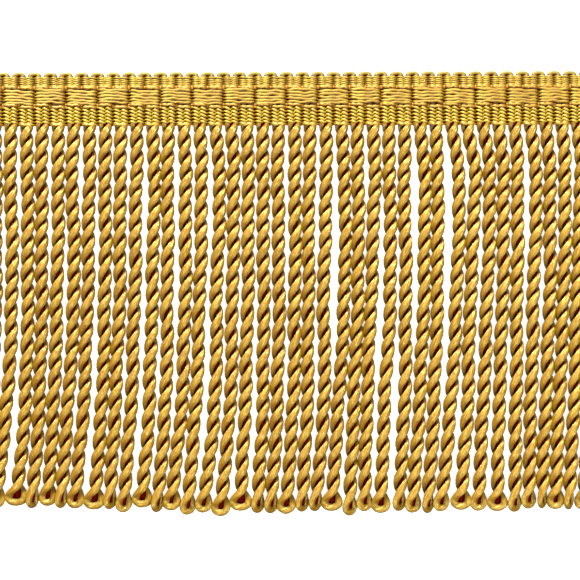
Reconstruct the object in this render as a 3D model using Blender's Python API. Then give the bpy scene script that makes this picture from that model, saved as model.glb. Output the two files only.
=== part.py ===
"""Bullion cord fringe trim, cut to length and laid face up on a flat surface.

A woven heading carries a row of twisted two-ply cords, each made of one yarn that is doubled
back on itself and so ends in a loop. +X runs along the trim, +Y from the loops up to the
heading, +Z out of its face. The origin is at the middle of the heading's back, on the surface
that the trim lies on. All sizes below are in millimetres; the objects are built in metres.
"""

import math
from collections import namedtuple

import bmesh
import bpy

MM = 0.001

# Overall sizes
TRIM_TALL = 152.4
CORD_COUNT = 39
CORD_PITCH = 5.4
PIECE_GAP = 0.3

# Woven heading
HEADING_TALL = 17.3
FOOT_TALL = 1.4
FOOT_THICK = 3.0
FOOT_COUNT = 3

# Twisted cord: its section is widest across the two plies and narrowest in the groove
CORD_HALF_WIDE = 2.1
CORD_HALF_NARROW = 1.15
CORD_AXIS_HIGH = CORD_HALF_WIDE
ROOT_AXIS_HIGH = 1.5
ROOT_HALF_WIDE = 1.8
HALF_TURN_LONG = 6.12
TWIST_EASING = 0.09
RISE_LONG = 9.0

# Loop at a cord's end
LOOP_TALL = 7.0
LOOP_CENTRE_HIGH = 3.3
LOOP_TOE_HIGH = 0.8
LOOP_TOE_SHARE = 0.55
LOOP_END_SHARE = 0.3
LOOP_CLEARANCE = 0.35

GOLD_CORD = (0.60, 0.33, 0.035)
GOLD_HEADING = (0.68, 0.42, 0.06)

TOP_Y = HEADING_TALL / 2
HEADING_BOTTOM_Y = TOP_Y - HEADING_TALL
FOOT_TOP_Y = HEADING_BOTTOM_Y - PIECE_GAP
ROOT_Y = FOOT_TOP_Y - FOOT_TALL / 2
LOWEST_Y = TOP_Y - TRIM_TALL
TRIM_LONG = CORD_COUNT * CORD_PITCH

# Heights of the trim at which a cord's sideways drift is given
NEAR_Y = -25.3
MID_Y = -66.3
LOW_Y = -107.3
TIP_Y = -137.4

# One row for each cord from left to right: its drift from the straight line at the four heights,
# how far its end stays above the lowest one, and the width of its loop as it lies
Lay = namedtuple("Lay", "near mid low tip rise loop_wide")
LAYS = [
    Lay(0.2, 0.0, -1.5, -5.4, 2.8, 5.4),
    Lay(-0.1, 0.3, -1.8, -5.4, 2.8, 5.6),
    Lay(0.2, 0.3, -0.9, -3.8, 3.7, 7.1),
    Lay(-0.4, -0.3, -1.5, -3.7, 2.9, 3.8),
    Lay(0.1, -0.5, -1.9, -3.9, 3.7, 5.5),
    Lay(-0.6, -0.1, -2.4, -4.7, 2.9, 3.7),
    Lay(-0.1, -0.8, -2.5, -5.2, 2.8, 5.4),
    Lay(-0.1, -0.3, -1.6, -4.1, 2.4, 7.1),
    Lay(-0.4, -0.6, -2.5, -4.1, 2.5, 4.3),
    Lay(-0.2, -0.9, -2.4, -4.7, 1.4, 5.2),
    Lay(0.6, -0.3, -1.6, -3.9, 3.0, 7.2),
    Lay(-0.2, -0.5, -1.4, -4.0, 1.4, 4.8),
    Lay(0.4, 0.2, -1.3, -4.6, 2.0, 6.8),
    Lay(0.6, -0.2, -1.8, -4.3, 0.5, 5.4),
    Lay(1.4, 0.2, -0.7, -4.3, 1.2, 5.2),
    Lay(0.8, 0.2, -0.8, -3.7, 0.0, 5.7),
    Lay(0.3, 0.1, -1.1, -2.5, 1.8, 6.8),
    Lay(-0.1, 0.1, -0.4, -2.0, 1.0, 4.1),
    Lay(-0.4, 0.0, -0.9, -2.8, 0.9, 4.6),
    Lay(0.2, 0.0, -0.8, -3.0, 0.7, 6.0),
    Lay(-0.4, -0.8, -1.4, -3.0, 1.4, 4.1),
    Lay(0.2, -0.9, -1.0, -3.8, 1.6, 4.6),
    Lay(0.9, 0.8, -1.5, -3.7, 1.6, 6.8),
    Lay(0.1, 0.0, -1.7, -2.9, 0.0, 4.8),
    Lay(0.5, -0.8, -2.5, -3.3, 1.5, 5.4),
    Lay(0.1, 0.3, -1.9, -3.1, 0.9, 6.3),
    Lay(-0.2, 0.2, -0.5, -2.2, 1.5, 5.1),
    Lay(1.3, 1.0, -0.8, -2.8, 0.9, 5.8),
    Lay(0.4, 0.2, -1.2, -3.1, 0.8, 4.1),
    Lay(2.3, 1.4, -0.8, -3.9, 1.4, 5.1),
    Lay(2.4, 0.8, -0.5, -2.6, 1.9, 6.6),
    Lay(2.1, 1.1, -0.5, -2.0, 1.5, 5.4),
    Lay(1.3, 1.0, -0.4, -1.0, 1.4, 6.0),
    Lay(0.9, 0.5, 0.0, -0.5, 1.1, 5.1),
    Lay(1.8, 0.8, -0.3, -1.1, 2.2, 5.4),
    Lay(1.0, 1.0, -0.7, -1.9, 2.3, 4.1),
    Lay(0.9, 0.3, -1.5, -2.7, 2.0, 6.0),
    Lay(1.0, -0.5, -1.7, -3.5, 1.9, 4.1),
    Lay(1.1, -0.3, -1.7, -3.9, 1.8, 5.1),
]

# Bands across the heading, from its lower edge up: height above that edge, thickness on a rib or
# in the middle of a float, thickness in the valley beside it, and how many ribs one float covers
Band = namedtuple("Band", "up crest valley ribs")
BANDS = [
    Band(0.0, 2.0, 1.6, 1),
    Band(0.6, 3.4, 2.3, 1),
    Band(5.3, 3.4, 2.3, 1),
    Band(6.2, 2.9, 2.9, 1),
    Band(7.1, 3.9, 2.5, 2),
    Band(11.2, 3.9, 2.5, 2),
    Band(12.0, 2.9, 2.9, 1),
    Band(12.8, 3.3, 2.2, 1),
    Band(16.5, 3.2, 2.3, 1),
    Band(HEADING_TALL, 1.5, 2.0, 1),
]
TOP_NOTCH_DEEP = 0.9
STEPS_PER_RIB = 2


def clear_scene():
    """Remove whatever the scene holds."""
    for old in list(bpy.data.objects):
        bpy.data.objects.remove(old)


def gold(name, colour, roughness):
    """A satin yarn of one colour."""
    material = bpy.data.materials.new(name)
    material.use_nodes = True
    shader = material.node_tree.nodes["Principled BSDF"]
    shader.inputs["Base Color"].default_value = (*colour, 1.0)
    shader.inputs["Roughness"].default_value = roughness
    shader.inputs["Metallic"].default_value = 0.0
    return material


def add_object(name, bm, collection, material=None):
    """Turn a bmesh in millimetres into an object in metres."""
    bmesh.ops.scale(bm, vec=(MM, MM, MM), verts=bm.verts)
    bmesh.ops.recalc_face_normals(bm, faces=bm.faces)
    mesh = bpy.data.meshes.new(name)
    bm.to_mesh(mesh)
    bm.free()
    made = bpy.data.objects.new(name, mesh)
    collection.objects.link(made)
    if material:
        mesh.materials.append(material)
    return made


def rib_x(number):
    """Middle of one rib, and of the cord that hangs from it."""
    return (number + 0.5) * CORD_PITCH - TRIM_LONG / 2


def drift_at(lay, y):
    """Sideways drift of a cord at one height: a smooth curve through the heights of the table."""
    heights = (ROOT_Y, NEAR_Y, MID_Y, LOW_Y, TIP_Y)
    drifts = (0.0, lay.near, lay.mid, lay.low, lay.tip)
    last = len(heights) - 1
    slopes = []
    for i in range(last + 1):
        before, after = max(i - 1, 0), min(i + 1, last)
        slopes.append((drifts[after] - drifts[before]) / (heights[after] - heights[before]))
    slopes[0] = 0.0
    i = 0
    while i < last - 1 and y < heights[i + 1]:
        i += 1
    span = heights[i + 1] - heights[i]
    t = (y - heights[i]) / span
    if t > 1.0:
        return drifts[last] + slopes[last] * (y - heights[last])
    start = (1 + 2 * t) * (1 - t) ** 2 * drifts[i] + t * (1 - t) ** 2 * span * slopes[i]
    end = t * t * (3 - 2 * t) * drifts[i + 1] + t * t * (t - 1) * span * slopes[i + 1]
    return start + end


def loop_half_wide(number):
    """Half the width of a loop, less where its neighbours leave it less room."""
    own = LAYS[number].loop_wide / 2
    share = 1.0
    for other in (number - 1, number + 1):
        if 0 <= other < CORD_COUNT:
            lean = LAYS[other].tip - LAYS[number].tip
            apart = abs((other - number) * CORD_PITCH + lean)
            both = own + LAYS[other].loop_wide / 2
            share = min(share, (apart - LOOP_CLEARANCE) / both)
    return own * share


def cord_sections(number):
    """Sections down one cord: height, half width, half thickness, quarter turns, axis height."""
    lay = LAYS[number]
    end_y = LOWEST_Y + lay.rise
    neck_y = end_y + LOOP_TALL
    long = ROOT_Y - neck_y
    half_turns = round(long / HALF_TURN_LONG - 0.5) + 0.5
    quarters = round(2 * half_turns)
    sections = []
    for quarter in range(quarters + 1):
        t = quarter / quarters
        along = t + TWIST_EASING * t * (t - 1)
        y = ROOT_Y - along * long
        up = min(1.0, (ROOT_Y - y) / RISE_LONG)
        axis_high = ROOT_AXIS_HIGH + (CORD_AXIS_HIGH - ROOT_AXIS_HIGH) * up
        wide = ROOT_HALF_WIDE if quarter == 0 else min(CORD_HALF_WIDE, axis_high)
        sections.append((y, wide, CORD_HALF_NARROW, quarter, axis_high))
    wide = loop_half_wide(number)
    last = quarters + 1
    for up, share in (
        (LOOP_CENTRE_HIGH, 1.0),
        (LOOP_TOE_HIGH, LOOP_TOE_SHARE),
        (0.0, LOOP_END_SHARE),
    ):
        thick = CORD_HALF_NARROW * math.sqrt(share)
        sections.append((end_y + up, wide * share, thick, last, CORD_AXIS_HIGH))
    return sections


def add_cord(bm, number):
    """Loft one twisted cord with its loop: four-sided sections, a quarter turn apart."""
    rings = []
    for y, wide, thick, quarter, axis_high in cord_sections(number):
        x = rib_x(number) + drift_at(LAYS[number], y)
        turn = quarter * math.pi / 2
        across = (math.cos(turn), math.sin(turn))
        corners = [
            (wide * across[0], wide * across[1]),
            (-thick * across[1], thick * across[0]),
            (-wide * across[0], -wide * across[1]),
            (thick * across[1], -thick * across[0]),
        ]
        rings.append([bm.verts.new((x + u, y, axis_high + v)) for u, v in corners])
    sides = []
    for upper, lower in zip(rings, rings[1:]):
        for i in range(4):
            j = (i + 1) % 4
            sides.append(bm.faces.new((upper[i], upper[j], lower[j], lower[i])))
    bm.faces.new(rings[0])
    bm.faces.new(list(reversed(rings[-1])))
    bmesh.ops.triangulate(bm, faces=sides, quad_method="SHORT_EDGE")


def build_foot(part, collection, tools, material):
    """One length of the heading's foot, with its cords rooted in it."""
    first = part * CORD_COUNT // FOOT_COUNT
    past = (part + 1) * CORD_COUNT // FOOT_COUNT
    left = rib_x(first) - CORD_PITCH / 2 + (PIECE_GAP / 2 if part else 0.0)
    right = rib_x(past - 1) + CORD_PITCH / 2
    right -= PIECE_GAP / 2 if part < FOOT_COUNT - 1 else 0.0
    foot = bmesh.new()
    bmesh.ops.create_cube(foot, size=1.0)
    bmesh.ops.scale(foot, vec=(right - left, FOOT_TALL, FOOT_THICK), verts=foot.verts)
    centre = ((left + right) / 2, ROOT_Y, FOOT_THICK / 2)
    bmesh.ops.translate(foot, vec=centre, verts=foot.verts)
    base = add_object("cord_row_%d" % (part + 1), foot, collection, material)
    cords = bmesh.new()
    for number in range(first, past):
        add_cord(cords, number)
    row = add_object("cords_to_join_%d" % (part + 1), cords, tools, material)
    row.hide_render = True
    row.display_type = "WIRE"
    join = base.modifiers.new("join_cords", "BOOLEAN")
    join.operation = "UNION"
    join.solver = "EXACT"
    join.object = row
    return base


def float_share(step, ribs):
    """1 on a rib or in the middle of a float, 0 in the valley at its end."""
    if ribs == 1:
        return step % STEPS_PER_RIB / (STEPS_PER_RIB - 1)
    from_valley = abs((step - STEPS_PER_RIB) % (ribs * STEPS_PER_RIB))
    nearest = min(from_valley, ribs * STEPS_PER_RIB - from_valley)
    return math.sin(math.pi / 2 * nearest / STEPS_PER_RIB)


def build_heading(collection, material):
    """The woven band: ribs, a row of wider floats between two flat lines, arches on top."""
    steps = CORD_COUNT * STEPS_PER_RIB
    bm = bmesh.new()
    bmesh.ops.create_grid(bm, x_segments=steps, y_segments=len(BANDS) - 1, size=0.5)
    for vert in bm.verts:
        step = round((vert.co.x + 0.5) * steps)
        row = round((vert.co.y + 0.5) * (len(BANDS) - 1))
        band = BANDS[row]
        share = float_share(step, band.ribs)
        y = HEADING_BOTTOM_Y + band.up
        if row == len(BANDS) - 1:
            y -= TOP_NOTCH_DEEP * share
        z = band.valley + (band.crest - band.valley) * share
        vert.co = (step / STEPS_PER_RIB * CORD_PITCH - TRIM_LONG / 2, y, z)
    bmesh.ops.triangulate(bm, faces=bm.faces, quad_method="SHORT_EDGE")
    face_up = list(bm.faces)
    grown = bmesh.ops.extrude_face_region(bm, geom=face_up, use_keep_orig=True)
    for item in grown["geom"]:
        if isinstance(item, bmesh.types.BMVert):
            item.co.z = 0.0
    back = [item for item in grown["geom"] if isinstance(item, bmesh.types.BMFace)]
    bmesh.ops.dissolve_faces(bm, faces=back)
    return add_object("heading", bm, collection, material)


def main():
    """Build the whole trim."""
    clear_scene()
    parts = bpy.data.collections.new("bullion_fringe_trim")
    tools = bpy.data.collections.new("shapes_to_join")
    bpy.context.scene.collection.children.link(parts)
    bpy.context.scene.collection.children.link(tools)
    build_heading(parts, gold("heading_yarn", GOLD_HEADING, 0.5))
    cord_yarn = gold("cord_yarn", GOLD_CORD, 0.45)
    for part in range(FOOT_COUNT):
        build_foot(part, parts, tools, cord_yarn)


main()
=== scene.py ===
"""Bullion cord fringe trim, laid face up: the looks of each yarn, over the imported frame.

Lengths in the tables and functions are in millimetres, and meshes are written in metres.
+X runs along the trim, +Y from the loops up to the heading, +Z out of its face.
"""

import math
from collections import namedtuple

import bpy
import numpy as np
from bpy.props import FloatProperty, FloatVectorProperty, IntProperty, PointerProperty
from bpy.types import Operator, Panel, PropertyGroup
from mathutils import Matrix, Vector


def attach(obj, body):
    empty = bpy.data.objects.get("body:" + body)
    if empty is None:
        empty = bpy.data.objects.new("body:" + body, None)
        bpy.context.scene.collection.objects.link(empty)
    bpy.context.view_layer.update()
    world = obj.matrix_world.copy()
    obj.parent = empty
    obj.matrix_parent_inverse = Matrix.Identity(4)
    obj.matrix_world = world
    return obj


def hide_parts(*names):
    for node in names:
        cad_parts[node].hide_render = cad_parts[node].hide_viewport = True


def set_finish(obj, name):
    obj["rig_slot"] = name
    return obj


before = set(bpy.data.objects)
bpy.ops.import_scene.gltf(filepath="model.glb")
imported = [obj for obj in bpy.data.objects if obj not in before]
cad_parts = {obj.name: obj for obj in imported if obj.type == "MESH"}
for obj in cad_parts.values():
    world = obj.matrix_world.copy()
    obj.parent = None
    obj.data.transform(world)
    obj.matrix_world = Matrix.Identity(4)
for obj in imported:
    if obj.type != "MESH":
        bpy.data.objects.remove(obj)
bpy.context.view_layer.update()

bl_info = {
    "name": "Bullion Fringe Trim",
    "version": (1, 0, 0),
    "blender": (4, 5, 0),
    "location": "3D View > Sidebar > Fringe",
    "description": "Builds a length of bullion fringe with its woven heading",
    "category": "Mesh",
}

MM = 0.001
BODY = "root"
CORD_NODES = ("cord_row_1", "cord_row_2", "cord_row_3")

# The frame of the solids, as in the part's source. A cord starts to open into its loop LOOP_TALL
# over its end, and its twist is tighter at the root and looser at the loop by TWIST_EASING, a share
CORD_COUNT = 39
CORD_PITCH = 5.4
HEADING_TALL = 17.3
TRIM_TALL = 152.4
TRIM_LONG = CORD_COUNT * CORD_PITCH
TOP_Y = HEADING_TALL / 2
ROOT_Y = -TOP_Y - 1.0
LOWEST_Y = TOP_Y - TRIM_TALL
LOOP_TALL = 7.0
TWIST_EASING = 0.09

# Heights of the trim at which a cord's sideways drift is given
NEAR_Y = -25.3
MID_Y = -66.3
LOW_Y = -107.3
TIP_Y = -137.4

# One row for each cord from left to right: its drift from the straight line at the four heights,
# how far its end stays above the lowest one, and the width of its loop as in the solids
Lay = namedtuple("Lay", "near mid low tip rise loop_wide")
LAYS = [
    Lay(0.2, 0.0, -1.5, -5.4, 2.8, 5.4),
    Lay(-0.1, 0.3, -1.8, -5.4, 2.8, 5.6),
    Lay(0.2, 0.3, -0.9, -3.8, 3.7, 7.1),
    Lay(-0.4, -0.3, -1.5, -3.7, 2.9, 3.8),
    Lay(0.1, -0.5, -1.9, -3.9, 3.7, 5.5),
    Lay(-0.6, -0.1, -2.4, -4.7, 2.9, 3.7),
    Lay(-0.1, -0.8, -2.5, -5.2, 2.8, 5.4),
    Lay(-0.1, -0.3, -1.6, -4.1, 2.4, 7.1),
    Lay(-0.4, -0.6, -2.5, -4.1, 2.5, 4.3),
    Lay(-0.2, -0.9, -2.4, -4.7, 1.4, 5.2),
    Lay(0.6, -0.3, -1.6, -3.9, 3.0, 7.2),
    Lay(-0.2, -0.5, -1.4, -4.0, 1.4, 4.8),
    Lay(0.4, 0.2, -1.3, -4.6, 2.0, 6.8),
    Lay(0.6, -0.2, -1.8, -4.3, 0.5, 5.4),
    Lay(1.4, 0.2, -0.7, -4.3, 1.2, 5.2),
    Lay(0.8, 0.2, -0.8, -3.7, 0.0, 5.7),
    Lay(0.3, 0.1, -1.1, -2.5, 1.8, 6.8),
    Lay(-0.1, 0.1, -0.4, -2.0, 1.0, 4.1),
    Lay(-0.4, 0.0, -0.9, -2.8, 0.9, 4.6),
    Lay(0.2, 0.0, -0.8, -3.0, 0.7, 6.0),
    Lay(-0.4, -0.8, -1.4, -3.0, 1.4, 4.1),
    Lay(0.2, -0.9, -1.0, -3.8, 1.6, 4.6),
    Lay(0.9, 0.8, -1.5, -3.7, 1.6, 6.8),
    Lay(0.1, 0.0, -1.7, -2.9, 0.0, 4.8),
    Lay(0.5, -0.8, -2.5, -3.3, 1.5, 5.4),
    Lay(0.1, 0.3, -1.9, -3.1, 0.9, 6.3),
    Lay(-0.2, 0.2, -0.5, -2.2, 1.5, 5.1),
    Lay(1.3, 1.0, -0.8, -2.8, 0.9, 5.8),
    Lay(0.4, 0.2, -1.2, -3.1, 0.8, 4.1),
    Lay(2.3, 1.4, -0.8, -3.9, 1.4, 5.1),
    Lay(2.4, 0.8, -0.5, -2.6, 1.9, 6.6),
    Lay(2.1, 1.1, -0.5, -2.0, 1.5, 5.4),
    Lay(1.3, 1.0, -0.4, -1.0, 1.4, 6.0),
    Lay(0.9, 0.5, 0.0, -0.5, 1.1, 5.1),
    Lay(1.8, 0.8, -0.3, -1.1, 2.2, 5.4),
    Lay(1.0, 1.0, -0.7, -1.9, 2.3, 4.1),
    Lay(0.9, 0.3, -1.5, -2.7, 2.0, 6.0),
    Lay(1.0, -0.5, -1.7, -3.5, 1.9, 4.1),
    Lay(1.1, -0.3, -1.7, -3.9, 1.8, 5.1),
]

# The yarns that run along the heading, from its top edge down, in rows of two: height of the first
# yarn, drop from it to the second, which passes over the ribs that the first passes under, how many
# ribs each float covers, half a yarn's width, half its thickness, how far it slants to either side
# of its line, and its band
Weave = namedtuple("Weave", "y drop ribs wide thick slant band")
WEAVES = [
    Weave(6.64, 0.10, 1, 0.26, 0.30, 0.10, "top"),
    Weave(6.10, 0.34, 1, 0.26, 0.30, 0.14, "top"),
    Weave(5.50, 0.34, 1, 0.26, 0.30, 0.14, "top"),
    Weave(4.84, 0.34, 1, 0.26, 0.30, 0.14, "top"),
    Weave(4.16, 0.30, 1, 0.27, 0.30, 0.14, "top"),
    Weave(3.36, 0.22, 1, 0.60, 0.42, 0.10, "accent"),
    Weave(2.34, 0.51, 2, 0.49, 0.38, 0.16, "middle"),
    Weave(1.30, 0.51, 2, 0.49, 0.38, 0.16, "middle"),
    Weave(0.26, 0.51, 2, 0.49, 0.38, 0.16, "middle"),
    Weave(-0.78, 0.51, 2, 0.49, 0.38, 0.16, "middle"),
    Weave(-1.80, 0.40, 2, 0.43, 0.38, 0.12, "middle"),
    Weave(-2.72, 0.75, 1, 0.50, 0.42, 0.06, "accent"),
    Weave(-4.02, 0.59, 1, 0.43, 0.36, 0.40, "low"),
    Weave(-5.20, 0.59, 1, 0.43, 0.36, 0.40, "low"),
    Weave(-6.38, 0.59, 1, 0.43, 0.36, 0.40, "low"),
    Weave(-7.56, 0.56, 1, 0.43, 0.36, 0.38, "low"),
    Weave(-8.62, 0.50, 1, 0.40, 0.36, 0.25, "low"),
]
FOOT_WEAVE = Weave(-9.00, 0.50, 1, 0.72, 0.50, 0.00, "foot")

# How the yarns of each band lie and look: how far they wander, their least width as a share, how
# much is left of their dip between a rib's two upright yarns, what is added to their tone, their
# least painted shade, and the painted shade in the valleys of the first and of the second yarn of
# a row
Band = namedtuple("Band", "loose least_wide dip tone least_shade first_shade second_shade")
BANDS = {
    "top": Band(0.06, 0.65, 0.45, 0.00, 0.00, 0.90, 0.90),
    "accent": Band(0.06, 0.70, 0.12, 0.00, 0.00, 0.58, 0.58),
    "middle": Band(0.25, 0.00, 1.00, -0.45, 0.13, 0.58, 0.80),
    "low": Band(0.06, 0.00, 1.00, 0.40, 0.00, 0.58, 0.58),
    "foot": Band(0.06, 0.00, 0.12, 0.00, 0.00, 0.58, 0.58),
}

# Across one rib, from valley to valley, for a float that covers one rib: place along the rib's
# width, height over the weave's middle as a share, the yarn's width as a share, and how much of
# the slant it has
Crossing = namedtuple("Crossing", "along high wide slant")
ONE_RIB = [
    Crossing(0.00, -0.02, 0.42, 1.0),
    Crossing(0.05, 0.26, 0.46, 1.0),
    Crossing(0.10, 0.56, 0.60, 0.9),
    Crossing(0.17, 0.86, 0.82, 0.6),
    Crossing(0.26, 1.00, 1.00, 0.1),
    Crossing(0.36, 0.92, 0.98, -0.5),
    Crossing(0.44, 0.64, 0.82, -0.9),
    Crossing(0.50, 0.42, 0.66, -0.1),
    Crossing(0.56, 0.64, 0.82, 0.8),
    Crossing(0.64, 0.92, 0.98, 0.5),
    Crossing(0.74, 1.00, 1.00, -0.1),
    Crossing(0.83, 0.86, 0.82, -0.6),
    Crossing(0.90, 0.56, 0.60, -0.9),
    Crossing(0.95, 0.26, 0.46, -1.0),
]

# Where, as a share of its length, a float over two ribs has risen, and how high it then lies
FLOAT_RISEN = 0.15
FLOAT_HIGH = 1.04

# Where on a rib the dip between its two upright yarns begins, as a share of its width
DIP_FROM = 0.3

# How far from a valley an accent yarn bulges to fill it, as a share of a rib, and how high
VALLEY_WIDE = 0.08
VALLEY_HIGH = 0.45

# The patch of each float over two ribs where its fibres catch less light: its place and its width
# as shares of the float, and how much darker its tone is
PATCH_AT = 0.6
PATCH_WIDE = 0.13
PATCH_DEEP = 1.9

# How far a warp yarn's middle stands off the rib under it, as a share of its half thickness
WARP_SEAT = 0.9

# Painted shade, from 0 to 1, for how deep in the work a rib's upright yarns lie, and the foot and
# the top of an arch
LEG_SHADE = 0.8
ARCH_SHADE = 0.35
ARCH_TOP_SHADE = 0.15

# How far a rib's upright yarns stop short of the heading's lower edge, and how far the top of an
# arch lifts off the weave's middle layer
LEG_SHORT = 0.4
ARCH_LIFT = 0.25

# The heading's inner layer: how far it stops short of its top edge under an arch, how much further
# between two arches, how far it passes the lower edge, how far it stops short of the cut ends, half
# its thickness, and how much thicker it is behind the middle of a rib
CORE_SHORT = 1.05
CORE_NOTCH = 0.75
CORE_LONG = 0.75
CORE_INSET = 0.2
CORE_HALF_THICK = 0.10
CORE_SWELL = 0.5

# A loop: height of its widest place over its end, how much wider it is than in the solids, whose
# loops keep clear of each other, how far two loops that touch may press into each other's outer
# fibres, the least distance from its middle to its yarn's, and the least of that seen from above
LOOP_CENTRE_HIGH = 3.0
LOOP_SWELL = 1.25
LOOP_PRESS = 0.8
LOOP_OPEN = 1.75
LOOP_LEAST_REACH = 0.6

# Half the width of the yarn where it lies flat in a loop, and what each millimetre of the loop adds
LOOP_YARN = 1.02
LOOP_YARN_MORE = 0.06

# A cord: how far its root runs up behind the foot, over what length it gathers there and by how
# much, how unevenly it is twisted, in radians, and how far it snakes
ROOT_LONG = 1.6
GATHER_LONG = 2.0
GATHER_SHARE = 0.12
TWIST_UNEVEN = 0.32
SNAKE_WIDE = 0.28

# How far the yarns lie clear of the floor
CLEARANCE = 0.02

# The dark yarn of painted shade that stands for the shaded hollow between two plies: how far it
# laps into them, how far it laps into the loop's yarn, and how much thinner and how much lower it
# is in the loop's eye
HOLLOW_LAP = 0.10
EYE_LAP = 0.25
EYE_THIN = 0.1
EYE_LOW = 0.7

# Width of the fibre streaks in the cords and ribs, and in the finer yarns. Real filaments are more
# than ten times finer and wouldn't show, so they are drawn this coarse
CORD_STREAK = 0.35
FINE_STREAK = 0.30

# Grain of the dark inner yarns, and of the floor's card
CORE_GRAIN = 2 / 3
CARD_GRAIN = 10 / 9

# Where on a ply's inner side the groove's painted shade begins and how wide it fades, as shares
# of the way from its flank to its innermost fibres, and how far from those its faces take the flat
# painted shade of the slit
GROOVE_FROM = 0.70
GROOVE_WIDE = 0.30
DARK_TURN = math.radians(36)

# Faces round a rib's yarn, a warp yarn and the dark yarn inside a cord
RIB_SIDES = 14
WARP_SIDES = 8
HOLLOW_SIDES = 6

# Rings along a rib's upright yarn, and steps along an arch
LEG_RINGS = 16
ARCH_STEPS = 12

# Rings along a cord: behind the foot, in each half turn, where it opens into its loop, round the
# loop's bend, and along the dark yarn in the loop's eye
ROOT_RINGS = 3
HALF_TURN_RINGS = 8.5
OPENING_RINGS = 7
BEND_RINGS = 15
EYE_RINGS = 4

# Photograph and camera
PIXEL = 0.342
PHOTO_WIDE = 580
CENTRE_X = -1.68
CENTRE_Y = -66.3
CORD_TOP_HIGH = 3.5
PHOTO_TILT_DEG = 0.18
SENSOR_WIDE = 36.0

# Stage, in metres: the floor fills every view up to its horizon, and the two lights are placed from
# the middle of the photograph. The key stands low beyond the heading, so that it lights the upper
# side of every ply and leaves the slit under it dark
FLOOR_WIDE = 20.0
FLOOR_DROP = 0.0001
KEY_WIDE = 0.50
KEY_PLACE = (-0.52, 1.62, 0.84)
FILL_WIDE = 0.60
FILL_PLACE = (0.35, -0.35, 0.90)

# Tint of a dyed filament's gloss, and of the light from all round, which is warm so that the
# shadows between the cords stay a saturated brown
GLOSS_TINT = "FFFDA2"
AIR_TINT = "FFF6DD"


def linear(hex_colour):
    """An sRGB hex colour as linear values."""
    parts = [int(hex_colour[i:i + 2], 16) / 255 for i in (0, 2, 4)]
    return tuple(c / 12.92 if c <= 0.04045 else ((c + 0.055) / 1.055) ** 2.4 for c in parts)


class HeadingSettings(PropertyGroup):
    """Sizes and colours of the woven heading."""

    weft_radius: FloatProperty(
        name="Weft radius", description="Radius of each upright yarn in a rib, in mm", default=0.95
    )
    weft_apart: FloatProperty(
        name="Weft spacing",
        description="From a rib's middle to each of its two upright yarns, in mm",
        default=1.22,
    )
    arch_radius: FloatProperty(
        name="Arch radius", description="Radius of a rib's yarn at the top of its arch, in mm",
        default=0.56,
    )
    arch_rise: FloatProperty(
        name="Arch rise", description="How far an arch rises over its two ribs, in mm", default=0.78
    )
    middle_high: FloatProperty(
        name="Middle height", description="Height of the weave's middle layer, in mm", default=1.66
    )
    rib_colour: FloatVectorProperty(
        name="Rib colour",
        description="Colour of the fibres that catch the light in the ribs and arches",
        subtype="COLOR",
        default=linear("705E1C"),
    )
    rib_deep_colour: FloatVectorProperty(
        name="Rib deep colour",
        description="Colour between the fibres of the ribs and arches",
        subtype="COLOR",
        default=linear("54400E"),
    )
    warp_colour: FloatVectorProperty(
        name="Warp colour",
        description="Colour of the fibres that catch the light in the yarns along the heading",
        subtype="COLOR",
        default=linear("92761E"),
    )
    warp_deep_colour: FloatVectorProperty(
        name="Warp deep colour",
        description="Colour between the fibres of the yarns along the heading",
        subtype="COLOR",
        default=linear("6E4A02"),
    )
    accent_colour: FloatVectorProperty(
        name="Accent colour",
        description="Colour of the fibres that catch the light in the two yarns beside the floats",
        subtype="COLOR",
        default=linear("825610"),
    )
    accent_deep_colour: FloatVectorProperty(
        name="Accent deep colour",
        description="Colour between the fibres of the two yarns beside the floats",
        subtype="COLOR",
        default=linear("6E4408"),
    )
    # Painted shade: the dark maroon that the heading's yarns are painted towards where they lie
    # deep, and the colour of its inner sheet
    core_shade_colour: FloatVectorProperty(
        name="Core colour",
        description="Colour deep inside the weave",
        subtype="COLOR",
        default=linear("3E0C03"),
    )


class CordSettings(PropertyGroup):
    """Sizes and colours of the twisted cords."""

    ply_wide: FloatProperty(
        name="Ply width", description="Half the width of a ply across the cord, in mm", default=1.38
    )
    ply_thick: FloatProperty(
        name="Ply thickness",
        description="From a ply's middle to its face away from the cord's axis, in mm",
        default=0.92,
    )
    twist_radius: FloatProperty(
        name="Twist radius",
        description="From the cord's axis to a ply's middle, in mm",
        default=1.53,
    )
    half_turns: IntProperty(
        name="Half turns", description="Whole half turns of twist from root to loop", default=20
    )
    sides: IntProperty(name="Sides", description="Faces round a ply", default=16, min=8)
    light_colour: FloatVectorProperty(
        name="Light colour",
        description="Colour of the cords' fibres that catch the light",
        subtype="COLOR",
        default=linear("7E5E12"),
    )
    deep_colour: FloatVectorProperty(
        name="Deep colour",
        description="Colour between the cords' fibres",
        subtype="COLOR",
        default=linear("6A4404"),
    )
    # Painted shade: the dark maroon painted on the plies' inner sides, in the slits between them
    # and in the loops' eyes
    groove_colour: FloatVectorProperty(
        name="Groove colour",
        description="Colour deep between two plies",
        subtype="COLOR",
        default=linear("480603"),
    )


class StageSettings(PropertyGroup):
    """Floor, light and camera."""

    lens: FloatProperty(
        name="Lens", description="Focal length of the camera, in mm", default=100.0
    )
    key_power: FloatProperty(
        name="Key light", description="Power of the soft light beyond the heading, in watts",
        default=205.0, subtype="POWER",
    )
    fill_power: FloatProperty(
        name="Fill light", description="Power of the large light over the trim, in watts",
        default=21.0, subtype="POWER",
    )
    air: FloatProperty(
        name="Air light", description="Strength of the even light from all round", default=0.42
    )
    floor_colour: FloatVectorProperty(
        name="Floor colour", description="Colour of the floor", subtype="COLOR",
        default=linear("BEBEBC"),
    )


# Geometry

OUT_OF_FACE = np.array([0.0, 0.0, 1.0])
TO_LOOPS = np.array([0.0, -1.0, 0.0])


def rib_x(number):
    """Middle of one rib, and of the cord that hangs from it."""
    return (number + 0.5) * CORD_PITCH - TRIM_LONG / 2


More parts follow.
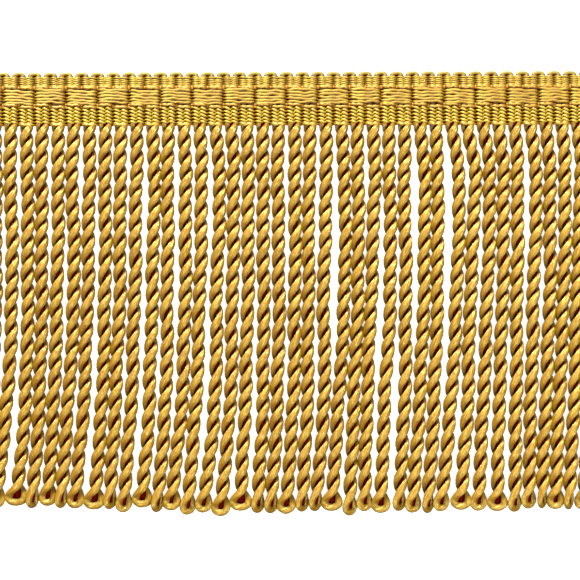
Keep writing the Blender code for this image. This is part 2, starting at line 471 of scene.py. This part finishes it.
def wobble(seed, place):
    """A small repeatable unevenness between -1 and 1 that changes smoothly with place."""
    phase = math.sin(seed * 12.9898) * 43758.5453 % 1.0 * 2 * math.pi
    return 0.6 * np.sin(place + phase) + 0.4 * np.sin(2.3 * place + 2.1 * phase)


def smooth(share):
    """A share between 0 and 1, eased at both ends."""
    share = np.clip(share, 0.0, 1.0)
    return share * share * (3 - 2 * share)


def drift_at(lay, y):
    """Sideways drift of a cord at one height: a smooth curve through the heights of the table."""
    heights = (ROOT_Y, NEAR_Y, MID_Y, LOW_Y, TIP_Y)
    drifts = (0.0, lay.near, lay.mid, lay.low, lay.tip)
    last = len(heights) - 1
    slopes = []
    for i in range(last + 1):
        before, after = max(i - 1, 0), min(i + 1, last)
        slopes.append((drifts[after] - drifts[before]) / (heights[after] - heights[before]))
    slopes[0] = 0.0
    if y > ROOT_Y:
        return 0.0
    i = 0
    while i < last - 1 and y < heights[i + 1]:
        i += 1
    span = heights[i + 1] - heights[i]
    t = (y - heights[i]) / span
    if t > 1.0:
        return drifts[last] + slopes[last] * (y - heights[last])
    start = (1 + 2 * t) * (1 - t) ** 2 * drifts[i] + t * (1 - t) ** 2 * span * slopes[i]
    end = t * t * (3 - 2 * t) * drifts[i + 1] + t * t * (t - 1) * span * slopes[i + 1]
    return start + end


def sweep(path, outward, wide, thick, sides, tone=0.5, shade=0.0, groove=0.0, skew=0.0, cut=0.3):
    """Rings of a closed yarn round a path, with its vertices' places in the straightened yarn.

    outward points along the section's thickness. shade is how much painted shade a place gets
    for lying deep in the work, groove is how much painted shade the section's inner side gets, and
    also gives its two innermost faces the flat painted shade of the second material. skew is how
    many turns per millimetre the fibres wind, and cut is how far a cut end bulges.
    """
    path = np.asarray(path, float)
    count = len(path)
    wide, thick, tone, shade = (
        np.broadcast_to(np.asarray(value, float), (count,)) for value in (wide, thick, tone, shade)
    )
    tangent = np.gradient(path, axis=0)
    tangent /= np.linalg.norm(tangent, axis=1)[:, None]
    normal = outward - (outward * tangent).sum(axis=1)[:, None] * tangent
    normal /= np.linalg.norm(normal, axis=1)[:, None]
    side = np.cross(tangent, normal)
    travelled = np.concatenate([[0.0], np.cumsum(np.linalg.norm(np.diff(path, axis=0), axis=1))])

    # A cut end is a low dome of two smaller rings: share of the section, share of the bulge
    dome = ((0.9, 0.35), (0.62, 0.8))
    picks = np.array([0] * len(dome) + list(range(count)) + [count - 1] * len(dome))
    pushes = np.array(
        [-cut * push for share, push in reversed(dome)] + [0.0] * count
        + [cut * push for share, push in dome]
    )
    shares = np.array(
        [share for share, push in reversed(dome)] + [1.0] * count + [share for share, push in dome]
    )
    turn = np.arange(sides) * 2 * math.pi / sides
    half = sides // 2
    if groove > 0.0:
        turn[half - 1], turn[half + 1] = math.pi - DARK_TURN, math.pi + DARK_TURN
    along_normal = np.cos(turn)[None, :] * (thick[picks] * shares)[:, None]
    along_side = np.sin(turn)[None, :] * (wide[picks] * shares)[:, None]
    # Painted shade: a ply's inner side and any place deep in the work are painted darker
    inner = smooth((-np.cos(turn) - GROOVE_FROM) / GROOVE_WIDE)
    depth = np.maximum(shade[picks][:, None], groove * inner[None, :])
    centre = path[picks] + tangent[picks] * pushes[:, None]
    rings = centre[:, None] + along_normal[:, :, None] * normal[picks][:, None]
    rings = rings + along_side[:, :, None] * side[picks][:, None]
    winding = turn[None, :] + (skew * 2 * math.pi * travelled[picks])[:, None]
    radius = np.sqrt(wide[picks] * thick[picks])[:, None]
    straight = np.stack(
        [
            np.cos(winding) * radius,
            np.sin(winding) * radius,
            np.repeat((travelled[picks] + pushes)[:, None], sides, axis=1),
        ],
        axis=2,
    )
    along_yarn = np.gradient(rings, travelled[picks] + pushes, axis=0)
    round_yarn = np.roll(rings, -1, axis=1) - np.roll(rings, 1, axis=1)
    fibre = along_yarn - round_yarn * (skew * sides / 2)
    fibre /= np.linalg.norm(fibre, axis=2)[:, :, None]
    rings_count = len(picks)
    ring = np.arange(rings_count - 1)[:, None] * sides
    j = np.arange(sides)[None, :]
    after = (j + 1) % sides
    quads = np.stack([ring + j, ring + after, ring + sides + after, ring + sides + j], axis=2)
    # The two faces nearest a ply's inner side take the second material, the flat painted shade of
    # the slit
    unlit = [groove > 0.0 and side in (half - 1, half) for side in range(sides)]
    last = (rings_count - 1) * sides
    return {
        "verts": rings.reshape(-1, 3),
        "quads": quads.reshape(-1, 4),
        "finish": [int(dark) for dark in unlit] * (rings_count - 1) + [0, 0],
        "caps": [list(range(sides - 1, -1, -1)), list(range(last, last + sides))],
        "straight": straight.reshape(-1, 3),
        "fibre": fibre.reshape(-1, 3),
        "tone": np.repeat(tone[picks], sides),
        "shade": depth.ravel(),
    }


def make_piece(name, yarns, materials, slot, nodes):
    """One mesh object of several yarns, in metres, that rides on the frame."""
    verts, faces, finishes = [], [], []
    base = 0
    for yarn in yarns:
        verts.append(yarn["verts"] * MM)
        faces += (yarn["quads"] + base).tolist()
        faces += [[base + i for i in cap] for cap in yarn["caps"]]
        finishes += yarn["finish"]
        base += len(yarn["verts"])
    mesh = bpy.data.meshes.new(name)
    mesh.from_pydata(np.concatenate(verts).tolist(), [], faces)
    for kind, field, keys in (
        ("FLOAT_VECTOR", "vector", ("straight", "fibre")), ("FLOAT", "value", ("tone", "shade"))
    ):
        for key in keys:
            values = np.concatenate([yarn[key] for yarn in yarns]).astype(np.float32)
            mesh.attributes.new(key, kind, "POINT").data.foreach_set(field, values.ravel())
    mesh.polygons.foreach_set("use_smooth", [True] * len(mesh.polygons))
    for material in materials:
        mesh.materials.append(material)
    mesh.polygons.foreach_set("material_index", finishes)
    mesh.update()
    made = bpy.data.objects.new(name, mesh)
    bpy.context.scene.collection.objects.link(made)
    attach(made, BODY)
    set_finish(made, slot)
    if nodes:
        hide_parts(*nodes)
    return made


# Materials


def add(tree, kind, settings=None, **links):
    """Add one node: its settings, and its inputs from values or other nodes' outputs.

    A link's name is its input's name, or an underscore and the input's number.
    """
    node = tree.nodes.new(kind)
    for key, value in (settings or {}).items():
        setattr(node, key, value)
    for key, value in links.items():
        socket = node.inputs[int(key[1:]) if key[1:].isdigit() else key.replace("_", " ")]
        if isinstance(value, bpy.types.NodeSocket):
            tree.links.new(value, socket)
        else:
            socket.default_value = value
    return node


def new_material(name):
    """An empty material and its tree, with an output and a principled shader."""
    material = bpy.data.materials.new(name)
    material.use_nodes = True
    return material, material.node_tree, material.node_tree.nodes["Principled BSDF"]


def yarn_material(name, light, deep, groove, streak_mm, bump_mm, roughness):
    """Viscose filament yarn, dyed gold and laid in a soft twist.

    Its smooth long filaments give the eye a satin gloss with a yellow tint, in streaks along the
    yarn with a deeper gold between them. Where it lies deep in the work it is painted dark towards
    the groove colour, as painted shade, and made duller.
    """
    material, tree, shader = new_material(name)
    place = add(tree, "ShaderNodeAttribute", {"attribute_name": "straight"})
    stretch = add(
        tree, "ShaderNodeMapping", Vector=place.outputs["Vector"], Scale=(1.0, 1.0, 0.1)
    )
    fibres = add(
        tree, "ShaderNodeTexNoise", Vector=stretch.outputs["Vector"],
        Scale=1.0 / streak_mm, Detail=2.0, Roughness=0.6,
    )
    patches = add(
        tree, "ShaderNodeTexNoise", Vector=place.outputs["Vector"],
        Scale=0.5, Detail=2.0, Roughness=0.5,
    )
    tone = add(tree, "ShaderNodeAttribute", {"attribute_name": "tone"})
    spread = add(
        tree, "ShaderNodeMapRange", Value=fibres.outputs["Fac"],
        From_Min=0.34, From_Max=0.66, To_Min=-0.35, To_Max=0.85,
    )
    level = add(
        tree, "ShaderNodeMath", {"operation": "MULTIPLY_ADD"},
        _0=tone.outputs["Fac"], _1=0.5, _2=spread.outputs["Result"],
    )
    ramp = add(tree, "ShaderNodeValToRGB", Fac=level.outputs["Value"])
    ramp.color_ramp.elements[0].color = (*deep, 1.0)
    ramp.color_ramp.elements[1].color = (*light, 1.0)
    tint = add(
        tree, "ShaderNodeMapRange", Value=patches.outputs["Fac"],
        From_Min=0.3, From_Max=0.7, To_Min=0.88, To_Max=1.1,
    )
    colour = add(
        tree, "ShaderNodeVectorMath", {"operation": "SCALE"},
        _0=ramp.outputs["Color"], Scale=tint.outputs["Result"],
    )
    # Painted shade: the colour goes towards the dark groove colour as far as the shade attribute
    # says
    shade = add(tree, "ShaderNodeAttribute", {"attribute_name": "shade"})
    deepen = add(
        tree, "ShaderNodeMix", {"data_type": "RGBA"},
        _0=shade.outputs["Fac"], _6=colour.outputs["Vector"], _7=(*groove, 1.0),
    )
    bump = add(
        tree, "ShaderNodeBump", Height=fibres.outputs["Fac"], Strength=1.0, Distance=bump_mm * MM
    )
    dull = add(
        tree, "ShaderNodeMapRange", Value=shade.outputs["Fac"],
        From_Min=0.0, From_Max=0.6, To_Min=roughness, To_Max=1.0,
    )
    fibre = add(tree, "ShaderNodeAttribute", {"attribute_name": "fibre"})
    tree.links.new(deepen.outputs[2], shader.inputs["Base Color"])
    tree.links.new(bump.outputs["Normal"], shader.inputs["Normal"])
    tree.links.new(dull.outputs["Result"], shader.inputs["Roughness"])
    tree.links.new(fibre.outputs["Vector"], shader.inputs["Tangent"])
    shader.inputs["Metallic"].default_value = 0.15
    shader.inputs["IOR"].default_value = 1.53
    shader.inputs["Specular IOR Level"].default_value = 1.0
    shader.inputs["Specular Tint"].default_value = (*linear(GLOSS_TINT), 1.0)
    shader.inputs["Anisotropic"].default_value = 0.4
    shader.inputs["Anisotropic Rotation"].default_value = 0.25
    return material


def painted_shade_material(name, colour):
    """Painted shade for the depth of the weave or a cord: a dull dark yarn without gloss that
    stands for the shade there.
    """
    material, tree, shader = new_material(name)
    place = add(tree, "ShaderNodeTexCoord")
    grain = add(
        tree, "ShaderNodeTexNoise", Vector=place.outputs["Object"],
        Scale=1.0 / (CORE_GRAIN * MM), Detail=1.0,
    )
    shade = add(
        tree, "ShaderNodeMapRange", Value=grain.outputs["Fac"],
        From_Min=0.3, From_Max=0.7, To_Min=0.7, To_Max=1.2,
    )
    base = add(
        tree, "ShaderNodeVectorMath", {"operation": "SCALE"},
        _0=colour, Scale=shade.outputs["Result"],
    )
    tree.links.new(base.outputs["Vector"], shader.inputs["Base Color"])
    shader.inputs["Roughness"].default_value = 1.0
    shader.inputs["Specular IOR Level"].default_value = 0.0
    return material


def floor_material(colour):
    """Matt white studio card, lit from behind: an even white on which no shadow shows."""
    material, tree, shader = new_material("white_studio_card")
    place = add(tree, "ShaderNodeTexCoord")
    grain = add(
        tree, "ShaderNodeTexNoise", Vector=place.outputs["Object"],
        Scale=1.0 / (CARD_GRAIN * MM), Detail=1.0,
    )
    bump = add(
        tree, "ShaderNodeBump", Height=grain.outputs["Fac"], Strength=0.05, Distance=0.05 * MM
    )
    tree.links.new(bump.outputs["Normal"], shader.inputs["Normal"])
    shader.inputs["Base Color"].default_value = (*colour, 1.0)
    shader.inputs["Roughness"].default_value = 0.95
    shader.inputs["Emission Color"].default_value = (1.0, 1.0, 1.0, 1.0)
    shader.inputs["Emission Strength"].default_value = 0.9
    return material


# Stage


class FRINGE_OT_stage(Operator):
    """Lay the floor, hang the lights and place the camera."""

    bl_idname = "fringe.stage"
    bl_label = "Stage"

    def execute(self, context):
        settings = context.scene.fringe_stage
        bpy.ops.object.select_all(action="DESELECT")
        bpy.ops.mesh.primitive_plane_add(size=FLOOR_WIDE, location=(0.0, 0.0, -FLOOR_DROP))
        floor = context.object
        floor.name = "floor"
        bpy.ops.object.transform_apply(location=True, rotation=True, scale=True)
        floor.data.materials.append(floor_material(settings.floor_colour))
        # The card would otherwise light the trim from below, which the photograph doesn't show
        floor.visible_diffuse = False
        floor.visible_glossy = False

        world = bpy.data.worlds.new("studio_air")
        context.scene.world = world
        world.use_nodes = True
        air = world.node_tree.nodes["Background"]
        air.inputs["Color"].default_value = (*linear(AIR_TINT), 1.0)
        air.inputs["Strength"].default_value = settings.air

        middle = np.array([CENTRE_X, CENTRE_Y, 0.0]) * MM
        for name, power, wide, place in (
            ("key", settings.key_power, KEY_WIDE, KEY_PLACE),
            ("fill", settings.fill_power, FILL_WIDE, FILL_PLACE),
        ):
            light = bpy.data.lights.new(name, "AREA")
            light.shape = "SQUARE"
            light.size = wide
            light.energy = power
            lamp = bpy.data.objects.new(name, light)
            context.scene.collection.objects.link(lamp)
            lamp.location = np.array(place) + middle
            lamp.rotation_euler = aim(-np.array(place))

        camera = bpy.data.cameras.new("camera")
        camera.lens = settings.lens
        camera.sensor_width = SENSOR_WIDE
        holder = bpy.data.objects.new("camera", camera)
        context.scene.collection.objects.link(holder)
        away = PHOTO_WIDE * PIXEL * settings.lens / SENSOR_WIDE
        holder.location = (CENTRE_X * MM, CENTRE_Y * MM, (CORD_TOP_HIGH + away) * MM)
        holder.rotation_euler = (0.0, 0.0, -math.radians(PHOTO_TILT_DEG))
        context.scene.camera = holder
        context.scene.view_settings.view_transform = "Standard"
        return {"FINISHED"}


def aim(direction):
    """Rotation that points a lamp along a direction, with one side along the cords."""
    back = -Vector(direction).normalized()
    side = Vector((0.0, 1.0, 0.0)).cross(back).normalized()
    return Matrix((side, back.cross(side), back)).transposed().to_euler()


# Heading


class FRINGE_OT_core(Operator):
    """Build the heading's flat inner layer, a dark sheet of painted shade that shows between the
    yarns.
    """

    bl_idname = "fringe.core"
    bl_label = "Heading core"

    def execute(self, context):
        settings = context.scene.fringe_heading
        columns = CORD_COUNT * 4
        rows = 12
        end = TRIM_LONG / 2 - CORE_INSET
        xs = np.linspace(-end, end, columns + 1)
        ys = np.linspace(-TOP_Y - CORE_LONG, TOP_Y - CORE_SHORT, rows + 1)
        verts, faces = [], []
        for level in (1, -1):
            for row, y in enumerate(ys):
                for x in xs:
                    on_rib = max(math.cos(2 * math.pi * (x - rib_x(0)) / CORD_PITCH), 0.0)
                    notch = CORE_NOTCH * on_rib if row == rows else 0.0
                    z = settings.middle_high + level * (CORE_HALF_THICK + CORE_SWELL * on_rib)
                    verts.append((x * MM, (y - notch) * MM, z * MM))
        # Faces of the front and the back, then of the lower and upper edges, then of the two ends
        across = columns + 1
        under = across * (rows + 1)
        for row in range(rows):
            for column in range(columns):
                here = row * across + column
                above = here + across
                faces.append((here, here + 1, above + 1, above))
                faces.append((under + here, under + above, under + above + 1, under + here + 1))
        for column in range(columns):
            low, top = column, rows * across + column
            faces.append((low + 1, low, under + low, under + low + 1))
            faces.append((top, top + 1, under + top + 1, under + top))
        for row in range(rows):
            left = row * across
            right = left + columns
            faces.append((left, left + across, under + left + across, under + left))
            faces.append((right + across, right, under + right, under + right + across))
        mesh = bpy.data.meshes.new("heading_shade_core")
        mesh.from_pydata(verts, [], faces)
        # Painted shade: a dull maroon brown sheet that stands for the shade in the depth of the
        # weave
        mesh.materials.append(painted_shade_material("painted_shade_core", settings.core_shade_colour))
        core = bpy.data.objects.new("heading_shade_core", mesh)
        context.scene.collection.objects.link(core)
        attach(core, BODY)
        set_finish(core, "heading_yarn")
        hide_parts("heading")
        return {"FINISHED"}


def rib_yarn(number, heading):
    """The yarn up the side of one rib, over an arch and down the next rib.

    The trim is cut through its first and its last arch, so those yarns have one upright each.
    """
    radius, slim, rise = heading.weft_radius, heading.arch_radius, heading.arch_rise
    arch_half = CORD_PITCH / 2 - heading.weft_apart
    arch_foot = TOP_Y - slim - rise
    middle = rib_x(number) + CORD_PITCH / 2
    first, last = number < 0, number == CORD_COUNT - 1
    legs = np.linspace(-TOP_Y + LEG_SHORT, arch_foot, LEG_RINGS)
    turn = np.linspace(math.pi, 0.0, ARCH_STEPS + 1)
    arch_top = ARCH_STEPS // 2
    if first:
        turn = turn[arch_top:-1]
    elif last:
        turn = turn[1:arch_top + 1]
    else:
        turn = turn[1:-1]
    uneven = 0.12 * wobble(number + 0.7, 0.0)
    # The uprights are painted with more shade than the arches
    path, rounds, shades = [], [], []
    if not first:
        path += [(middle - arch_half, y, heading.middle_high) for y in legs]
        rounds += [radius] * len(legs)
        shades += [LEG_SHADE] * len(legs)
    for angle in turn:
        lift = math.sin(angle)
        path.append((
            middle + arch_half * math.cos(angle) + uneven * lift,
            arch_foot + (rise + 0.5 * uneven) * lift,
            heading.middle_high + ARCH_LIFT * lift,
        ))
        rounds.append(radius + (slim - radius) * lift)
        shades.append(ARCH_SHADE + (ARCH_TOP_SHADE - ARCH_SHADE) * lift)
    if not last:
        path += [(middle + arch_half, y, heading.middle_high) for y in legs[::-1]]
        rounds += [radius] * len(legs)
        shades += [LEG_SHADE] * len(legs)
    out = np.tile(OUT_OF_FACE, (len(path), 1))
    tone = 0.5 + 0.4 * wobble(number, 0.0)
    return sweep(path, out, rounds, rounds, RIB_SIDES, tone, shades)


class FRINGE_OT_weft(Operator):
    """Build the upright yarns of the ribs, which arch from rib to rib along the top edge."""

    bl_idname = "fringe.weft"
    bl_label = "Ribs and arches"

    def execute(self, context):
        heading = context.scene.fringe_heading
        # Loosely spun viscose yarn: olive gold and rather dull, with painted shade on its uprights
        # and less on its arches
        material = yarn_material(
            "viscose_rib_yarn", heading.rib_colour, heading.rib_deep_colour, heading.core_shade_colour,
            streak_mm=CORD_STREAK, bump_mm=0.25, roughness=0.5,
        )
        yarns = [rib_yarn(number, heading) for number in range(-1, CORD_COUNT)]
        make_piece("heading_ribs", yarns, [material], "heading_yarn", ["heading"])
        return {"FINISHED"}


def warp_yarn(weave, second, seed, heading):
    """One yarn along the heading, over some ribs and under the next ones.

    second is the yarn that passes over the ribs that its row's first yarn passes under, and seed
    gives each yarn an unevenness of its own.
    """
    band = BANDS[weave.band]
    rows = []
    for number in range(CORD_COUNT):
        over = (number + 1) // weave.ribs % 2 == int(second)
        for crossing in ONE_RIB:
            share, high, wide, slant = crossing.along, crossing.high, crossing.wide, crossing.slant
            if weave.ribs == 2:
                share = (share + (number + 1) % 2) / 2
                slant = 1.0 - 2.0 * share
                if FLOAT_RISEN < share < 1.0 - FLOAT_RISEN:
                    high, wide = FLOAT_HIGH, 1.0
            if not over:
                high, slant = -high, 2.0 * share - 1.0
            elif DIP_FROM < share < 1.0 - DIP_FROM:
                high = 1.0 - band.dip + band.dip * high
            if weave.band == "accent":
                from_valley = min(crossing.along, 1.0 - crossing.along)
                high = max(high, VALLEY_HIGH * (1.0 - from_valley / VALLEY_WIDE))
            wide = band.least_wide + (1.0 - band.least_wide) * wide
            patch = math.exp(-((share - PATCH_AT) / PATCH_WIDE) ** 2) if weave.ribs == 2 else 0.0
            rows.append((number + crossing.along, high, wide, slant, patch))
    rows.append((CORD_COUNT, 0.0, 0.5, 0.0, 0.0))
    along, high, wide, slant, patch = np.array(rows).T

    x = along * CORD_PITCH - TRIM_LONG / 2
    y = weave.y - (weave.drop if second else 0.0) + weave.slant * slant
    y = y + band.loose * wobble(seed, x * 0.62) + 0.04 * wobble(seed + 0.5, x * 1.9)
    z = heading.middle_high + (heading.weft_radius + WARP_SEAT * weave.thick) * high
    z = np.maximum(z, weave.thick + CLEARANCE)
    path = np.stack([x, y, z], axis=1)
    out = np.tile(OUT_OF_FACE, (len(path), 1))
    wide = weave.wide * wide * (1.0 + 0.08 * wobble(seed + 0.2, x * 0.9))
    tone = 0.55 + 0.2 * wobble(seed, seed) + 0.3 * wobble(seed + 0.9, x * 0.55)
    tone = tone + band.tone - PATCH_DEEP * patch
    # Painted shade: a yarn is painted darker where it dives low between the ribs
    valley_shade = band.second_shade if second else band.first_shade
    shade = np.clip(valley_shade - 0.9 * high, band.least_shade, 0.85)
    return sweep(path, out, wide, weave.thick, WARP_SIDES, tone, shade, cut=0.2)


class FRINGE_OT_warp(Operator):
    """Weave the fine yarns and the accent yarns along the heading."""

    bl_idname = "fringe.warp"
    bl_label = "Warp yarns"

    def execute(self, context):
        heading = context.scene.fringe_heading
        # Nearly untwisted viscose yarn: yellow gold, with a soft gloss along each float
        warp = yarn_material(
            "viscose_warp_yarn", heading.warp_colour, heading.warp_deep_colour, heading.core_shade_colour,
            streak_mm=FINE_STREAK, bump_mm=0.15, roughness=0.56,
        )
        # Thicker viscose yarn of a deeper dye: two orange gold lines that frame the floats
        accent = yarn_material(
            "viscose_accent_yarn", heading.accent_colour, heading.accent_deep_colour,
            heading.core_shade_colour, streak_mm=FINE_STREAK, bump_mm=0.15, roughness=0.5,
        )
        warps, accents = [], []
        for row, weave in enumerate(WEAVES):
            yarns = accents if weave.band == "accent" else warps
            for second in (False, True):
                yarns.append(warp_yarn(weave, second, row * 2 + int(second) + 1, heading))
        half = (len(warps) + 1) // 2
        for name, yarns, material in (
            ("heading_warp_1", warps[:half], warp),
            ("heading_warp_2", warps[half:], warp),
            ("heading_accent_1", accents, accent),
        ):
            make_piece(name, yarns, [material], "heading_yarn", ["heading"])
        return {"FINISHED"}


class FRINGE_OT_edge(Operator):
    """Lay the thick yarn along the heading's foot, over every other rib."""

    bl_idname = "fringe.edge"
    bl_label = "Foot yarn"

    def execute(self, context):
        cord = context.scene.fringe_cord
        # The cords' own viscose yarn, laid straight: smooth bright gold, a little duller than a ply
        material = yarn_material(
            "viscose_foot_yarn", cord.light_colour, cord.deep_colour, cord.groove_colour,
            streak_mm=CORD_STREAK, bump_mm=0.2, roughness=0.42,
        )
        yarn = warp_yarn(FOOT_WEAVE, True, 77, context.scene.fringe_heading)
        make_piece("foot_yarn", [yarn], [material], "cord_yarn", ["cord_row_2"])
        return {"FINISHED"}


# Cords


def loop_half_wide(number):
    """Half the width of a loop, less where its neighbours leave it less room."""
    own = LAYS[number].loop_wide * LOOP_SWELL / 2
    share = 1.0
    for other in (number - 1, number + 1):
        if 0 <= other < CORD_COUNT:
            lean = LAYS[other].tip - LAYS[number].tip
            apart = abs((other - number) * CORD_PITCH + lean)
            both = own + LAYS[other].loop_wide * LOOP_SWELL / 2
            share = min(share, (apart + LOOP_PRESS) / both)
    return own * share


# The way of one cord down to its loop's widest place: its axis, how far its plies have turned about
# it, their distance from it and how far it has opened, and then the loop: distance from its middle
# to its yarn's, half the yarn's width, how far it hangs below its widest place, and its lean
Course = namedtuple("Course", "axis angle radius opened full broad deep lean")


def cord_course(number, settings, middle_high):
    """The way of one cord, from behind the foot yarn down to its loop's widest place."""
    lay = LAYS[number]
    thick, twist = settings.ply_thick, settings.twist_radius
    end_y = LOWEST_Y + lay.rise
    neck_y = end_y + LOOP_TALL
    widest_y = end_y + LOOP_CENTRE_HIGH
    half_turns = settings.half_turns + 0.5

    # The loop's yarn lies with its broad side up, and a loop without room to lie flat is tilted
    broad = LOOP_YARN + LOOP_YARN_MORE * lay.loop_wide
    reach = loop_half_wide(number) - broad
    full = max(reach, LOOP_OPEN)
    tilt = math.acos(min(1.0, max(reach, LOOP_LEAST_REACH) / full))

    root = np.linspace(ROOT_Y + ROOT_LONG, ROOT_Y, ROOT_RINGS + 1)[:-1]
    t = np.linspace(0.0, 1.0, int(half_turns * HALF_TURN_RINGS))
    twisted = ROOT_Y - (t + TWIST_EASING * t * (t - 1)) * (ROOT_Y - neck_y)
    u = np.linspace(0.0, 1.0, OPENING_RINGS + 1)[1:]
    y = np.concatenate([root, twisted, neck_y + (widest_y - neck_y) * u])

    last = half_turns * math.pi
    laid = np.sin(u * math.pi / 2) * (math.pi / 2 - tilt)
    uneven = TWIST_UNEVEN * wobble(number + 0.1, t * 17) * smooth(4 * t) * smooth(6 * (1 - t))
    angle = np.concatenate([0.0 * root, t * last + uneven, last + laid])
    opened = np.concatenate([0.0 * root, 0.0 * t, smooth(u)])
    free = smooth((ROOT_Y - y) / GATHER_LONG)
    radius = (twist + (full - twist) * opened) * (1.0 - GATHER_SHARE * (1.0 - free))

    # A cord drifts and snakes between its root and its loop, and rises to a loop that is tilted
    x = np.array([rib_x(number) + drift_at(lay, place) for place in y])
    loose = smooth((ROOT_Y - y) / 15.0) * smooth((y - widest_y) / 20.0)
    x = x + SNAKE_WIDE * wobble(number + 0.4, y * 0.16) * loose
    lying = thick + twist + CLEARANCE
    z = middle_high + (lying - middle_high) * free
    raised = full * math.sin(tilt) + math.hypot(broad * math.sin(tilt), thick * math.cos(tilt))
    stand = max(lying, raised + 0.1)
    z = z + (stand - lying) * smooth((neck_y + 6.0 - y) / 9.0)

    axis = np.stack([x, y, z], axis=1)
    deep = widest_y - (end_y + broad)
    lean = (x[-1] - x[-2]) / (y[-1] - y[-2])
    return Course(axis, angle, radius, opened, full, broad, deep, lean)


def cord_yarn(number, settings, course):
    """The cord's one yarn: down as one ply, round the loop and back up as the other ply."""
    angle, opened = course.angle, course.opened
    across = np.stack([np.cos(angle), np.zeros_like(angle), np.sin(angle)], axis=1)
    aside = across * course.radius[:, None]

    bend = np.linspace(0.0, math.pi, BEND_RINGS + 2)[1:-1]
    fall = course.deep * np.sin(bend)
    bottom = course.axis[-1] + across[-1] * (course.full * np.cos(bend))[:, None]
    bottom = bottom + TO_LOOPS * fall[:, None]
    bottom[:, 0] -= course.lean * fall
    bottom_out = across[-1] * np.cos(bend)[:, None] + TO_LOOPS * np.sin(bend)[:, None]

    path = np.concatenate([course.axis + aside, bottom, (course.axis - aside)[::-1]])
    outward = np.concatenate([across, bottom_out, -across[::-1]])
    flat = np.concatenate([opened, np.ones(len(bend)), opened[::-1]])
    place = np.arange(len(path)) * 0.35
    swell = 1.0 + 0.03 * wobble(number + 0.3, place)
    tone = 0.5 + 0.25 * wobble(number, 1.0) + 0.2 * wobble(number + 0.6, place * 0.4)
    wide, thick = settings.ply_wide, settings.ply_thick
    # The plies' inner sides get painted shade, and their innermost faces the flat painted shade of
    # the slit
    return sweep(
        path, outward,
        (wide + (thick - wide) * flat) * swell,
        (thick + (course.broad - thick) * flat) * swell,
        settings.sides, tone, groove=0.15, skew=0.06,
    )


def hollow_shade_yarn(settings, course):
    """A dark yarn of painted shade inside a cord, for the shaded hollow between the plies, which
    widens into the loop's eye and ends in the loop's bend.
    """
    angle, opened, full, broad = course.angle, course.opened, course.full, course.broad
    fall = np.linspace(0.0, course.deep - 0.3 * broad, EYE_RINGS + 1)[1:]
    eye = np.tile(course.axis[-1], (len(fall), 1)) + TO_LOOPS * fall[:, None]
    eye[:, 0] -= course.lean * fall
    eye_wide = np.maximum(full * np.sqrt(1 - (fall / course.deep) ** 2) - broad, 0.0) + EYE_LAP
    widest_eye = max(full - broad, 0.0) + EYE_LAP
    hollow = settings.twist_radius - settings.ply_thick + HOLLOW_LAP

    wides = np.concatenate([(hollow + (widest_eye - hollow) * opened)[::2], eye_wide])
    in_eye = np.concatenate([opened[::2], np.ones(len(fall))])
    facing = np.stack([-np.sin(angle), np.zeros_like(angle), np.cos(angle)], axis=1)
    facing = np.concatenate([facing[::2], np.tile(facing[-1], (len(fall), 1))])
    middles = np.concatenate([course.axis[::2], eye])
    middles[:, 2] -= EYE_LOW * in_eye
    return sweep(middles, facing, wides, hollow - EYE_THIN * in_eye, HOLLOW_SIDES, shade=1.0)


class FRINGE_OT_cords(Operator):
    """Twist every cord: one yarn down, round a loop and back up round itself."""

    bl_idname = "fringe.cords"
    bl_label = "Cords"

    def execute(self, context):
        settings = context.scene.fringe_cord
        middle_high = context.scene.fringe_heading.middle_high
        # Satin viscose bullion yarn: bright gold bands where a ply faces the light, brown flanks
        material = yarn_material(
            "viscose_cord_yarn", settings.light_colour, settings.deep_colour,
            settings.groove_colour, streak_mm=CORD_STREAK, bump_mm=0.6, roughness=0.35,
        )
        # Painted shade between the plies: dull maroon slits, and the loops' eyes
        inside = painted_shade_material("painted_shade_in_cord", settings.groove_colour)
        hollow_shades = {node: [] for node in CORD_NODES}
        for number in range(CORD_COUNT):
            course = cord_course(number, settings, middle_high)
            yarn = cord_yarn(number, settings, course)
            node = CORD_NODES[number * len(CORD_NODES) // CORD_COUNT]
            make_piece(
                "cord_%02d" % (number + 1), [yarn], [material, inside], "cord_yarn", [node]
            )
            hollow_shades[node].append(hollow_shade_yarn(settings, course))
        for row, node in enumerate(CORD_NODES):
            make_piece("cord_cores_%d" % (row + 1), hollow_shades[node], [inside], "cord_yarn", [node])
        return {"FINISHED"}


# Add-on


class FRINGE_PT_panel(Panel):
    """Lists the trim's pieces and its sizes in the sidebar."""

    bl_label = "Bullion fringe"
    bl_idname = "FRINGE_PT_panel"
    bl_space_type = "VIEW_3D"
    bl_region_type = "UI"
    bl_category = "Fringe"

    def draw(self, context):
        layout = self.layout
        for group in (
            context.scene.fringe_heading, context.scene.fringe_cord, context.scene.fringe_stage
        ):
            box = layout.box()
            for name in group.__annotations__:
                box.prop(group, name)
        for operator in OPERATORS:
            layout.operator(operator.bl_idname)


OPERATORS = (
    FRINGE_OT_stage, FRINGE_OT_core, FRINGE_OT_weft, FRINGE_OT_warp, FRINGE_OT_edge, FRINGE_OT_cords
)
CLASSES = (HeadingSettings, CordSettings, StageSettings) + OPERATORS + (FRINGE_PT_panel,)


def register():
    """Register the classes and hang the settings on the scene."""
    for cls in CLASSES:
        bpy.utils.register_class(cls)
    bpy.types.Scene.fringe_heading = PointerProperty(type=HeadingSettings)
    bpy.types.Scene.fringe_cord = PointerProperty(type=CordSettings)
    bpy.types.Scene.fringe_stage = PointerProperty(type=StageSettings)


def unregister():
    """Take the settings and the classes away again."""
    del bpy.types.Scene.fringe_stage
    del bpy.types.Scene.fringe_cord
    del bpy.types.Scene.fringe_heading
    for cls in reversed(CLASSES):
        bpy.utils.unregister_class(cls)


def main():
    """Build the trim and its stage."""
    register()
    bpy.ops.fringe.stage()
    bpy.ops.fringe.core()
    bpy.ops.fringe.weft()
    bpy.ops.fringe.warp()
    bpy.ops.fringe.edge()
    bpy.ops.fringe.cords()


if __name__ == "__main__":
    main()
